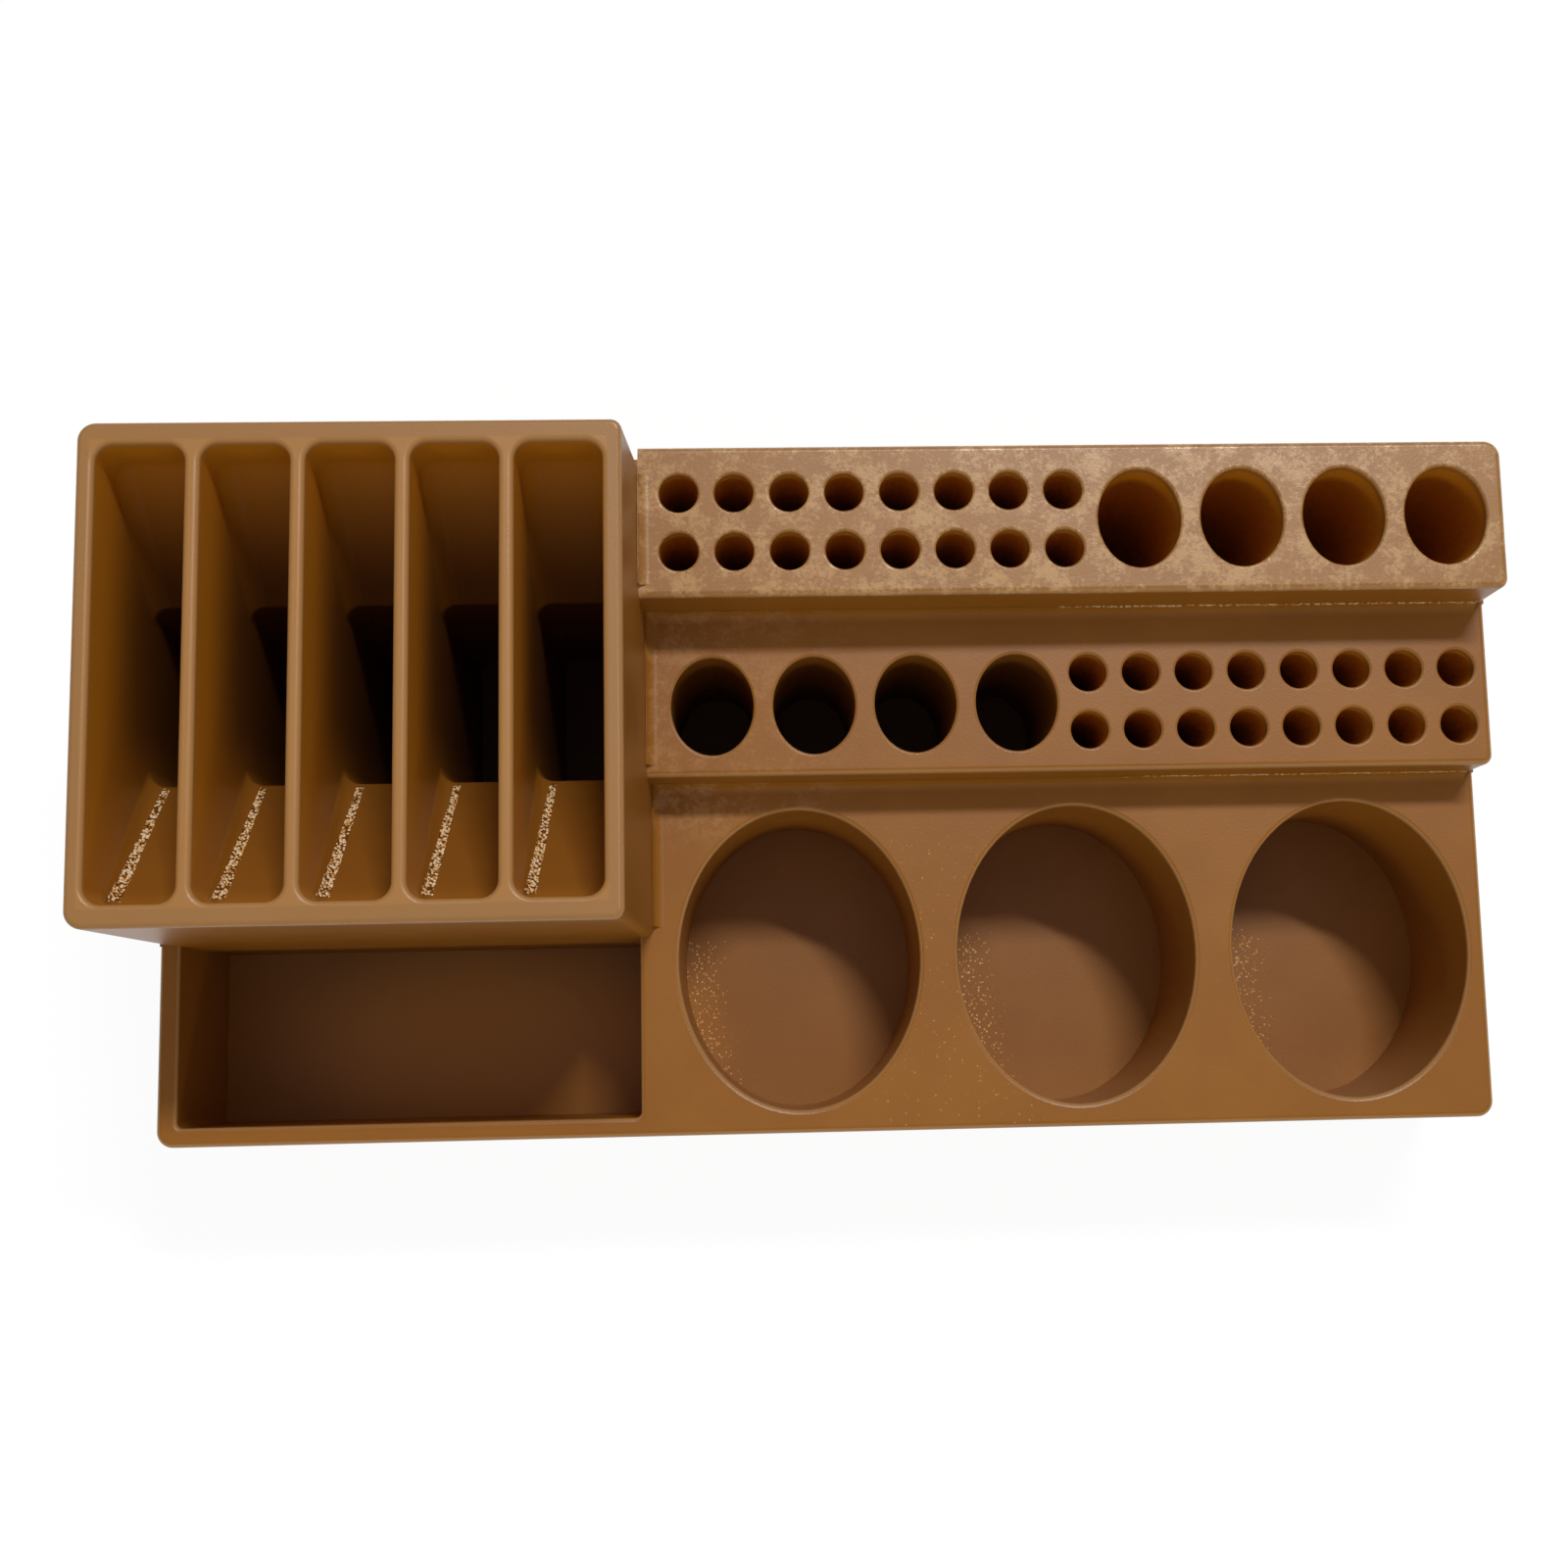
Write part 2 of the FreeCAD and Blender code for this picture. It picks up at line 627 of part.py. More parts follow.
def build_cup_tray_frame():
    """The low front step: a hollow deck with three cup tubes, and the walls of the open tray."""
    body = new_body("cup_tray_frame")
    cup_centres = row_of("cup_first", "cup_pitch", "cup_count", "cup_centre")
    deck = sketch_on(body, "deck_sketch", "XZ_Plane", "-middle_front")
    polygon(deck, [("box_right", "plate_top"), ("right_face", "plate_top"),
                   ("right_face", "front_top"), (box_right_at("front_top"), "front_top")])
    pad(body, "deck", deck, "front_depth")
    apron = sketch_on(body, "apron_sketch", "XY_Plane", "plate_top")
    rectangle(apron, "tray_right", "(box_right + frame_wall)", "front_face", "box_front")
    pad(body, "apron", apron, "front_height")
    hollow = sketch_on(body, "hollow_sketch", "XY_Plane", "plate_top")
    rectangle(hollow, "(box_right + frame_wall)", "(right_face - frame_wall)",
              "(front_face + frame_wall)", "(middle_front - frame_wall)")
    pocket(body, "deck_hollow", hollow, "(front_height - deck_thick)")
    tubes = sketch_on(body, "tube_sketch", "XY_Plane", "plate_top")
    ovals(tubes, cup_centres, "(cup_width + 2 * cup_wall)", "(cup_length + 2 * cup_wall)")
    pad(body, "cup_tubes", tubes, "front_height")
    bosses = sketch_on(body, "boss_sketch", "XY_Plane", "plate_top")
    circles(bosses, frame_fixings, "boss_diameter")
    pad(body, "bosses", bosses, "front_height")
    tray = sketch_on(body, "tray_sketch", "XY_Plane", "plate_top")
    polygon(tray, [("left_face", "front_face"), ("tray_right", "front_face"),
                   ("tray_right", "(front_face + tray_front_wall)"),
                   ("(left_face + tray_side_wall)", "(front_face + tray_front_wall)"),
                   ("(left_face + tray_side_wall)", "box_front"), ("left_face", "box_front")])
    pad(body, "tray_walls", tray, "front_height")
    cups = sketch_on(body, "cup_sketch", "XY_Plane", "plate_top")
    ovals(cups, cup_centres, "cup_width", "cup_length")
    pocket(body, "cups", cups)
    pilot_holes(body, frame_fixings)
    dress(body, "Fillet", "cup_rims", rims_at(body, "front_top"), "cup_round")
    outer_corners = [name for side in ("left_face", "right_face")
                     for name in edges_at(body, x=side, y="front_face")]
    dress(body, "Fillet", "outer_corners", outer_corners, "corner_round")
    inner_front = "(front_face + tray_front_wall)"
    inner_corners = (edges_at(body, x="(left_face + tray_side_wall)", y=inner_front)
                     + edges_at(body, x="tray_right", y=inner_front))
    dress(body, "Fillet", "tray_corners", inner_corners, "tray_corner")
    front_edge = edges_at(body, y="front_face", z="front_top")
    left_edge = edges_at(body, x="left_face", z="front_top")
    right_edge = edges_at(body, x="right_face", z="front_top")
    dress(body, "Fillet", "top_edges", front_edge + left_edge + right_edge, "edge_round")
    tray_edge = edges_at(body, y=inner_front, z="front_top")
    dress(body, "Fillet", "tray_rim", tray_edge, "cup_round")
    box_lip(body, "front_top", "(box_front + step_corner)", "middle_front")
    riser_lip(body, "front_top", "middle_front")
    foot_lines = box_foot_line(body, "front_top") + riser_foot_line(body, "front_top", "middle_front")
    dress(body, "Fillet", "foot_coves", foot_lines, "cove_round")
    return body


def build_screw():
    """One countersunk screw at the origin, head down, with a cross recess in its head."""
    body = new_body("screw_pattern")
    profile = sketch_on(body, "screw_sketch", "XZ_Plane")
    polygon(profile, [("0", "0"), ("screw_head / 2", "0"), ("screw_shank / 2", "sink_size"),
                      ("screw_shank / 2", "screw_length - screw_shank / 2"), ("0", "screw_length")])
    turned = body.newObject("PartDesign::Revolution", "screw_turned")
    turned.Profile = profile
    turned.ReferenceAxis = (profile, ["V_Axis"])
    turned.Angle = 360
    doc.recompute()
    for name, wide, deep in (("recess_across", "recess_length", "recess_width"),
                             ("recess_along", "recess_width", "recess_length")):
        cross = sketch_on(body, f"{name}_sketch", "XY_Plane")
        rectangle(cross, f"-{wide} / 2", f"{wide} / 2", f"-{deep} / 2", f"{deep} / 2")
        pocket(body, name, cross, "recess_depth")
    return body


def build_screw_group(label, screw, centres):
    """Copies of the screw in the plate's countersinks, kept together as one node."""
    copies = []
    for number, (across, along) in enumerate(centres, 1):
        copy = doc.addObject("App::Link", f"{label}_{number}")
        copy.LinkedObject = screw
        bind(copy, "Placement.Base.x", across)
        bind(copy, "Placement.Base.y", along)
        bind(copy, "Placement.Base.z", "(plate_bottom + screw_gap)")
        copies.append(copy)
    group = doc.addObject("Part::Compound", label)
    group.Links = copies
    group.Label = label
    return group


screw = build_screw()
nodes = [build_base_plate(), build_pliers_box(), build_upper_rack(),
         build_middle_rack(), build_cup_tray_frame()]
nodes += [build_foot(label, centre) for label, centre in feet.items()]
nodes += [build_screw_group("pliers_box_screws", screw, box_fixings),
          build_screw_group("upper_rack_screws", screw, upper_fixings),
          build_screw_group("middle_rack_screws", screw, middle_fixings),
          build_screw_group("frame_screws", screw, frame_fixings)]
doc.recompute()

failed = [item.Label for item in doc.Objects if "Invalid" in item.State or "Error" in item.State]
empty = [node.Label for node in nodes if node.Shape.isNull() or not node.Shape.isValid()]
if failed or empty:
    raise ValueError(f"failed features {failed}, unusable shapes {empty}")
os.makedirs("parts", exist_ok=True)
for node in nodes:
    node.Shape.exportStep(f"parts/{node.Label}.step")
    box = node.Shape.optimalBoundingBox()
    print(f"{node.Label}: {len(node.Shape.Solids)} solids, {node.Shape.Volume / 1000:.2f} cm3,"
          f" {box.XLength:.2f} x {box.YLength:.2f} x {box.ZLength:.2f} mm")
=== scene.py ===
# %% [markdown]
# # A moulded tool caddy, lit on a white table
#
# The object is a brown plastic desk caddy: a tall box with five slots for pliers, two drilled
# steps for handles and pens, three cups for paint pots and an open tray. Its exact shape comes
# from CAD. This script adds what the CAD has no words for: how the plastic, the steel and the
# rubber look, and how the camera and the lamps stand.

# %% Load the exact shape
import math

import bpy
from mathutils import Matrix, Vector


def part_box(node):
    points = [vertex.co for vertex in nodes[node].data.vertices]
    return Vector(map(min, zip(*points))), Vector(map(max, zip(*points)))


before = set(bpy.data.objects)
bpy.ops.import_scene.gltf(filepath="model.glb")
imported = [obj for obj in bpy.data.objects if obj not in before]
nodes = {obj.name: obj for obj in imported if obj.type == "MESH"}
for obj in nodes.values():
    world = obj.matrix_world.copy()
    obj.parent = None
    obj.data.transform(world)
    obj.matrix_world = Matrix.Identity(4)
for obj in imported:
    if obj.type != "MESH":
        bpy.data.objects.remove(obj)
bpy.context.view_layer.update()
print("nodes:", ", ".join(sorted(nodes)))

# %% [markdown]
# Every length below is in metres and stands in the CAD's own frame: X to the right, Y to the
# back, Z up, with the feet on Z = 0. The few places that a material has to know, such as the
# level of a deck or the line of the slots, are read from the loaded pieces where they can be,
# and are otherwise named here once.

# %% Places that the materials need
FLOOR_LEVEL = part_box("base_plate")[1][2]
BOX_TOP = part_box("pliers_box")[1][2]
UPPER_DECK = 0.0663
MIDDLE_DECK = 0.0521
FRONT_DECK = 0.0405
SLOT_LEFT = -0.1289
SLOT_PITCH = 0.0182
SLOT_WIDTH = 0.0156
SLOT_COUNT = 5
SLOT_RIGHT = SLOT_LEFT + (SLOT_COUNT - 1) * SLOT_PITCH + SLOT_WIDTH
SLOT_FRONT = -0.02255
SLOT_BACK = 0.05815
THROAT_FRONT = 0.00245
RAMP_TOP = 0.0828
RAMP_SLOPE = -0.96
LARGE_HOLES_END = 0.0470
SMALL_HOLES_START = 0.0480
CUP_FIRST = -0.00635
CUP_PITCH = 0.0555
CUP_LINE = -0.0315
CUP_HALF_WIDTH = 0.024
CUP_HALF_LENGTH = 0.0298
TRAY_MIDDLE = (-0.070, -0.046)
TRAY_HALF_SIZES = (0.045, 0.020)
print("floor level", round(FLOOR_LEVEL, 4))


# %% [markdown]
# Procedural materials are trees of small nodes, and a few helpers keep them short to write.
# `add` makes a node and fills in its inputs: a plain value is typed into the socket, and
# another node's output is linked to it. `math_node` is the same for arithmetic. `ramp` and
# `product` make masks, which are numbers from 0 to 1 that say where something shows.

# %% Helpers for node trees
def add(tree, kind, inputs=None, **settings):
    """Make a node, set its options, and type in or link its inputs."""
    item = tree.nodes.new(kind)
    for name, setting in settings.items():
        setattr(item, name, setting)
    for socket, content in (inputs or {}).items():
        if isinstance(content, bpy.types.NodeSocket):
            tree.links.new(content, item.inputs[socket])
        else:
            item.inputs[socket].default_value = content
    return item


def math_node(tree, operation, *values):
    """One arithmetic step. Returns its result."""
    return add(tree, "ShaderNodeMath", dict(enumerate(values)), operation=operation).outputs[0]


def ramp(tree, value, low, high):
    """A soft step from 0 at low to 1 at high. With low above high it falls instead of rising."""
    item = add(tree, "ShaderNodeMapRange",
               {"Value": value, "From Min": low, "From Max": high, "To Min": 0.0, "To Max": 1.0},
               interpolation_type="SMOOTHSTEP")
    return item.outputs["Result"]


def product(tree, *values):
    """Several masks at once: the result is 1 only where all of them are."""
    result = values[0]
    for value in values[1:]:
        result = math_node(tree, "MULTIPLY", result, value)
    return result


def blend_colour(tree, factor, first, second):
    """The first colour where the factor is 0, the second where it is 1."""
    item = add(tree, "ShaderNodeMix", {"Factor": factor}, data_type="RGBA")
    for socket, content in ((6, first), (7, second)):
        if isinstance(content, bpy.types.NodeSocket):
            tree.links.new(content, item.inputs[socket])
        else:
            item.inputs[socket].default_value = content
    return item.outputs[2]


def noise(tree, vector, scale, detail=4.0, roughness=0.55):
    """Cloudy noise from 0 to 1. The scale counts clouds per metre."""
    item = add(tree, "ShaderNodeTexNoise",
               {"Vector": vector, "Scale": scale, "Detail": detail, "Roughness": roughness})
    return item.outputs["Fac"]


def new_material(name):
    """An empty material. Returns it with its tree and the object's own coordinates."""
    material = bpy.data.materials.new(name)
    material.use_nodes = True
    tree = material.node_tree
    tree.nodes.clear()
    return material, tree, add(tree, "ShaderNodeTexCoord").outputs["Object"]


print("helpers for node trees ready")

# %% [markdown]
# ## The skin of a moulding
#
# A satin moulding copies the skin of its steel mould. Close up it has a very fine grain, over
# that a slow waviness where the plastic shrank as it cooled, and patches that came out shinier
# than the rest because they lay tighter against the steel. The fourth pattern is a scatter of
# small specks, where the materials paint bright glints of lamp light. These four things are the
# same on every brown piece, so they go into one node group. Each material then decides where it
# shows them, and gives the patches a paler colour, a painted sheen. The coordinates are the
# object's own, so that the grain stays with the plastic.

# %% A node group for the moulded skin
def moulded_skin_group():
    group = bpy.data.node_groups.new("moulded skin", "ShaderNodeTree")
    group.interface.new_socket("Vector", in_out="INPUT", socket_type="NodeSocketVector")
    for name in ("Grain", "Wave", "Patches", "Specks"):
        group.interface.new_socket(name, in_out="OUTPUT", socket_type="NodeSocketFloat")
    place = group.nodes.new("NodeGroupInput").outputs["Vector"]
    result = group.nodes.new("NodeGroupOutput")
    grain = noise(group, place, 2600.0, 3.0)
    wave = noise(group, place, 42.0, 3.0)
    broad = noise(group, place, 190.0, 7.0, 0.7)
    fine = noise(group, place, 1100.0, 4.0, 0.65)
    # The shiny patches are smoother plastic; the materials also give them a paler colour, a painted
    # sheen.
    sheen_patches = ramp(group, math_node(group, "MULTIPLY_ADD", fine, 0.6, broad), 0.74, 0.96)
    # These specks are where the materials paint glints: bright flecks of lamp light.
    cells = add(group, "ShaderNodeTexVoronoi", {"Vector": place, "Scale": 2000.0, "Randomness": 1.0})
    chance = add(group, "ShaderNodeSeparateXYZ", {"Vector": cells.outputs["Color"]}).outputs["X"]
    inner = ramp(group, cells.outputs["Distance"], 0.70, 0.35)
    glint_specks = product(group, chance, inner)
    for name, value in (("Grain", grain), ("Wave", wave), ("Patches", sheen_patches), ("Specks", glint_specks)):
        group.links.new(value, result.inputs[name])
    return group


skin_group = moulded_skin_group()
print("node group:", skin_group.name, "with", len(skin_group.nodes), "nodes")

# %% [markdown]
# ## Brown plastic
#
# Each brown piece gets its own material, because the photograph shows them a little different:
# the high step is blotched with shiny patches, the front step is plain, and the slots have a
# line of glittering specks along one edge. The function below builds the part they share. It
# takes five masks, made by the caller: where the shiny patches may show, how likely a painted
# glint speck is at each place, where painted light makes the plastic pale or warm, and where
# painted shade makes it dark. The colour starts as a mix of two browns, and each mask in turn
# pulls it towards its own tone. The patches take a paler colour, a painted sheen, and the specks
# take gold and white, painted glints. The roughness falls in the patches and on the specks. The
# bump comes from the fine grain and the slow wave, and is very shallow.

# %% A function that makes one brown plastic
# The darkest brown paints shade; the pale and the warm brown paint light; the sheen brown is a
# painted sheen; the gold and the bright colour paint glints.
BROWN = (0.37, 0.136, 0.012, 1.0)
BROWN_DEEP = (0.34, 0.122, 0.010, 1.0)
BROWN_SHADE = (0.14, 0.042, 0.002, 1.0)
BROWN_PALE_LIGHT = (0.47, 0.240, 0.085, 1.0)
BROWN_WARM_LIGHT = (0.56, 0.205, 0.010, 1.0)
BROWN_SHEEN = (0.60, 0.340, 0.140, 1.0)
GLINT_GOLD = (0.82, 0.40, 0.100, 1.0)
GLINT_BRIGHT = (1.0, 0.84, 0.58, 1.0)
SKIN_DEPTH = 0.00006


def nowhere(tree, x, y, z):
    """A mask that is never on."""
    return math_node(tree, "MULTIPLY", z, 0.0)


def brown_plastic(name, patch_and_sheen_mask=nowhere, glint_mask=nowhere, pale_light_mask=nowhere,
                  warm_light_mask=nowhere, shade_mask=nowhere, roughness=0.39):
    """A satin brown plastic; the masks are functions of the tree and of X, Y and Z."""
    material, tree, place = new_material(name)
    x, y, z = add(tree, "ShaderNodeSeparateXYZ", {"Vector": place}).outputs
    skin = add(tree, "ShaderNodeGroup", node_tree=skin_group)
    tree.links.new(place, skin.inputs["Vector"])
    sheen_patches = product(tree, skin.outputs["Patches"], patch_and_sheen_mask(tree, x, y, z))
    likely = math_node(tree, "ADD", skin.outputs["Specks"], glint_mask(tree, x, y, z))
    glint_specks = ramp(tree, likely, 1.02, 1.14)

    # Painted light and shade: the warm and pale tones are painted light, the dark tone is painted
    # shade, the sheen colour on the patches is a painted sheen, and the flake colours are painted
    # glints.
    body = blend_colour(tree, ramp(tree, skin.outputs["Wave"], 0.35, 0.65), BROWN_DEEP, BROWN)
    warm_lit = blend_colour(tree, warm_light_mask(tree, x, y, z), body, BROWN_WARM_LIGHT)
    pale_lit = blend_colour(tree, pale_light_mask(tree, x, y, z), warm_lit, BROWN_PALE_LIGHT)
    shaded = blend_colour(tree, shade_mask(tree, x, y, z), pale_lit, BROWN_SHADE)
    sheened = blend_colour(tree, sheen_patches, shaded, BROWN_SHEEN)
    glint_colour = blend_colour(tree, ramp(tree, likely, 1.15, 1.65), GLINT_GOLD, GLINT_BRIGHT)
    colour = blend_colour(tree, glint_specks, sheened, glint_colour)
    dull = math_node(tree, "MULTIPLY_ADD", skin.outputs["Grain"], 0.12, roughness - 0.06)
    smoother = math_node(tree, "MULTIPLY", sheen_patches, 0.14)
    glint = math_node(tree, "MULTIPLY", glint_specks, 0.22)
    rough = math_node(tree, "SUBTRACT", math_node(tree, "SUBTRACT", dull, smoother), glint)
    height = math_node(tree, "MULTIPLY_ADD", skin.outputs["Wave"], 4.0, skin.outputs["Grain"])
    rise = math_node(tree, "MULTIPLY_ADD", glint_specks, 3.0, height)
    bump = add(tree, "ShaderNodeBump", {"Height": rise, "Strength": 0.5, "Distance": SKIN_DEPTH})
    shader = add(tree, "ShaderNodeBsdfPrincipled",
                 {"Base Color": colour, "Roughness": rough, "Normal": bump.outputs["Normal"],
                  "Specular IOR Level": 0.65, "IOR": 1.49})
    add(tree, "ShaderNodeOutputMaterial", {"Surface": shader.outputs["BSDF"]})
    return material


print("brown plastic function ready")

# %% [markdown]
# ## Where the plastic changes
#
# The masks below pick out the inside of the slots and of the holes. The outer walls lie at the
# same heights, so each mask also needs a fence: a box on the plan, inside which it may be on.
# Three more helpers say how high a place is: on a deck, on the plate, or above the front ramp of
# a slot.

# %% Fences and heights
FENCE_BLUR = 0.0003


def fence(tree, x, y, low, high, margin):
    """1 inside the box on the plan from low to high, shrunk by the margin; 0 outside."""
    sides = []
    for place, first, last in ((x, low[0], high[0]), (y, low[1], high[1])):
        start, end = first + margin, last - margin
        sides.append(ramp(tree, place, start - FENCE_BLUR, start + FENCE_BLUR))
        sides.append(ramp(tree, place, end + FENCE_BLUR, end - FENCE_BLUR))
    return product(tree, *sides)


def slots_fence(tree, x, y):
    return fence(tree, x, y, (SLOT_LEFT, SLOT_FRONT), (SLOT_RIGHT, SLOT_BACK), -0.0008)


def rack_fence(tree, x, y, name):
    low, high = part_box(name)
    return fence(tree, x, y, low, high, 0.0027)


def on_deck(tree, z, deck):
    return ramp(tree, z, deck - 0.0016, deck - 0.0004)


def plate_top(tree, z):
    """The upper face of the plate, which is the floor of the cups and of the tray."""
    return ramp(tree, z, FLOOR_LEVEL - 0.0008, FLOOR_LEVEL - 0.0004)


def above_front_ramp(tree, y, z):
    along = math_node(tree, "SUBTRACT", y, SLOT_FRONT)
    ramp_level = math_node(tree, "MULTIPLY_ADD", along, RAMP_SLOPE, RAMP_TOP)
    return math_node(tree, "SUBTRACT", z, ramp_level)


print("fences and heights ready")

# %% [markdown]
# ## Where the plastic glitters
#
# Looking into a slot from above, the edge between its left wall and its front ramp glitters
# along a narrow line where it catches the lamp. The specks of that line are a little raised and
# smoother, and their gold and white colour is a painted glint. All five slots have it, a pitch
# apart, so the mask folds X into one pitch with a modulo. The line leaves the wall slowly on its
# way down the ramp and grows thinner, and the mask keeps only what lies close to the slope of
# the ramp.

# %% A mask for the painted glint along the edge in each slot
def slot_edge_glint(tree, x, y, z):
    from_first = math_node(tree, "SUBTRACT", x, SLOT_LEFT)
    across = math_node(tree, "FLOORED_MODULO", from_first, SLOT_PITCH)
    along = math_node(tree, "SUBTRACT", y, SLOT_FRONT)
    line = math_node(tree, "MULTIPLY_ADD", along, 0.076, 0.0013)
    aside = math_node(tree, "ABSOLUTE", math_node(tree, "SUBTRACT", across, line))
    widened = math_node(tree, "MULTIPLY_ADD", along, 0.012, aside)
    on_line = ramp(tree, widened, 0.00115, 0.00085)
    off_ramp = math_node(tree, "ABSOLUTE", above_front_ramp(tree, y, z))
    close = ramp(tree, off_ramp, 0.0032, 0.0026)
    begins = ramp(tree, along, 0.0012, 0.0020)
    ends = ramp(tree, y, THROAT_FRONT, THROAT_FRONT - 0.001)
    return product(tree, on_line, close, begins, ends, slots_fence(tree, x, y))


print("mask for the torn edges ready")

# %% [markdown]
# The floor of each cup is the plate that closes the caddy from below. Beside the left wall of
# each cup, on the front part of the floor where the lamp reaches, a band of painted glint specks
# thins out towards the middle. The cups also repeat at a pitch, so the same folding works. Inside
# one cup, dividing by the two half lengths turns the oval into a circle of radius 1. The band
# bends with the wall, and it lies further in with each cup to the right.

# %% A mask for the painted glints on each cup's floor
def cup_floor_glints(tree, x, y, z):
    start = CUP_FIRST - CUP_PITCH / 2
    from_start = math_node(tree, "SUBTRACT", x, start)
    folded = math_node(tree, "FLOORED_MODULO", from_start, CUP_PITCH)
    number = math_node(tree, "FLOOR", math_node(tree, "DIVIDE", from_start, CUP_PITCH))
    from_axis = math_node(tree, "SUBTRACT", folded, CUP_PITCH / 2)
    across = math_node(tree, "DIVIDE", from_axis, CUP_HALF_WIDTH)
    along = math_node(tree, "DIVIDE", math_node(tree, "SUBTRACT", y, CUP_LINE), CUP_HALF_LENGTH)
    bend = math_node(tree, "MULTIPLY_ADD", product(tree, along, along), 0.22, -0.86)
    band = math_node(tree, "MULTIPLY_ADD", number, 0.15, bend)
    inward = math_node(tree, "SUBTRACT", across, band)
    density = math_node(tree, "MULTIPLY", ramp(tree, inward, 0.34, -0.05), 0.42)
    front = ramp(tree, along, 0.24, 0.18)
    spread = math_node(tree, "ADD", product(tree, across, across), product(tree, along, along))
    inside = product(tree, ramp(tree, spread, 1.12, 1.08), ramp(tree, x, start, start + 0.001))
    return product(tree, density, front, inside, plate_top(tree, z))


print("mask for the cup floors ready")

# %% [markdown]
# ## Decks, edges and holes
#
# The shiny patches lie on the decks. On the high deck they are everywhere. On the second deck
# there are only a few, near its left end, and on the front deck only in the back left corner. A
# deck is told from the walls below it by its level. The patches are smoother, and their paler
# colour is a painted sheen.

# %% Masks for the shiny patches
def upper_deck(tree, x, y, z):
    return on_deck(tree, z, UPPER_DECK)


def middle_deck(tree, x, y, z):
    left_end = math_node(tree, "MULTIPLY", ramp(tree, x, 0.02, -0.03), 0.3)
    return product(tree, on_deck(tree, z, MIDDLE_DECK), left_end)


def front_deck(tree, x, y, z):
    corner = product(tree, ramp(tree, y, -0.012, 0.001), ramp(tree, x, 0.012, -0.02))
    return math_node(tree, "MULTIPLY", product(tree, on_deck(tree, z, FRONT_DECK), corner), 0.4)


print("masks for the decks ready")

# %% [markdown]
# The last millimetre below each deck is paler, a painted highlight where the rounded edges catch
# the lamp: that covers the rims of the holes and the outer edges alike. The whole high deck is a
# little paler too, as painted light.

# %% Masks for the painted edge highlights
def edge_highlight(tree, z, deck):
    below = ramp(tree, z, deck - 0.0011, deck - 0.0006)
    above = ramp(tree, z, deck - 0.00004, deck - 0.0002)
    return math_node(tree, "MULTIPLY", product(tree, below, above), 0.85)


def upper_deck_light(tree, x, y, z):
    deck = math_node(tree, "MULTIPLY", upper_deck(tree, x, y, z), 0.40)
    return math_node(tree, "MAXIMUM", deck, edge_highlight(tree, z, UPPER_DECK))


def middle_edge_highlight(tree, x, y, z):
    return edge_highlight(tree, z, MIDDLE_DECK)


def front_edge_highlight(tree, x, y, z):
    return edge_highlight(tree, z, FRONT_DECK)


print("masks for the highlit edges ready")

# %% [markdown]
# The walls of the holes, below their rims, are painted warm, as painted light. The four large
# holes of the second step are the exception: they are painted dark, as painted shade, and so is
# the bottom of every hole in that step.

# %% Masks for the holes
def hole_walls(tree, x, y, z, deck, name):
    below = ramp(tree, z, deck - 0.0008, deck - 0.0030)
    return product(tree, below, rack_fence(tree, x, y, name))


def upper_hole_light(tree, x, y, z):
    return hole_walls(tree, x, y, z, UPPER_DECK, "upper_rack")


def middle_hole_light(tree, x, y, z):
    small_ones = ramp(tree, x, LARGE_HOLES_END, SMALL_HOLES_START)
    return product(tree, hole_walls(tree, x, y, z, MIDDLE_DECK, "middle_rack"), small_ones)


def middle_hole_shade(tree, x, y, z):
    large_ones = ramp(tree, x, SMALL_HOLES_START, LARGE_HOLES_END)
    walls = product(tree, hole_walls(tree, x, y, z, MIDDLE_DECK, "middle_rack"), large_ones)
    bottoms = product(tree, ramp(tree, z, 0.034, 0.012), rack_fence(tree, x, y, "middle_rack"))
    return math_node(tree, "MAXIMUM", bottoms, math_node(tree, "MULTIPLY", walls, 0.45))


print("masks for the holes ready")

# %% [markdown]
# Where a step meets the one behind it, a thin lip of plastic runs up against the riser. Towards
# the right end its crest carries painted glints, a painted highlight. The front deck also has a
# few painted glint specks between its cups.

# %% Masks for the painted glints on the lips and the front deck
def lip_crest_glint(tree, x, z, deck, start):
    high = ramp(tree, z, deck + 0.0013, deck + 0.0017)
    return product(tree, high, ramp(tree, x, start - 0.010, start + 0.010))


def middle_lip_glints(tree, x, y, z):
    return lip_crest_glint(tree, x, z, MIDDLE_DECK, 0.045)


def front_deck_glints(tree, x, y, z):
    flat = ramp(tree, z, FRONT_DECK - 0.0006, FRONT_DECK - 0.0001)
    right_of_first = ramp(tree, x, 0.0, 0.012)
    left_of_second = ramp(tree, x, 0.048, 0.036)
    before_step = ramp(tree, y, 0.002, -0.010)
    between = product(tree, right_of_first, left_of_second, before_step)
    glints = math_node(tree, "MULTIPLY", product(tree, flat, between), 0.10)
    return math_node(tree, "MAXIMUM", glints, lip_crest_glint(tree, x, z, FRONT_DECK, 0.060))


print("masks for the lips and nicks ready")

# %% [markdown]
# The box and the plate are left. The rim and the dividers at the top of the box are paler, as
# painted light, and the slot walls are painted warmer near the top, as painted light. Deep in the
# slots, on the front ramps and under the glinting line the plastic is painted dark as shade, and
# so is the plate at the bottom of the slots and holes. The tray's floor is painted warmer in its
# middle, a painted pool of light.

# %% Masks for the painted light and shade on the box and the plate
# Painted light: the rim and the dividers of the box are paler.
def box_top_light(tree, x, y, z):
    rim = math_node(tree, "MULTIPLY", ramp(tree, z, BOX_TOP - 0.0024, BOX_TOP - 0.0006), 0.7)
    return math_node(tree, "MAXIMUM", rim, edge_highlight(tree, z, BOX_TOP))


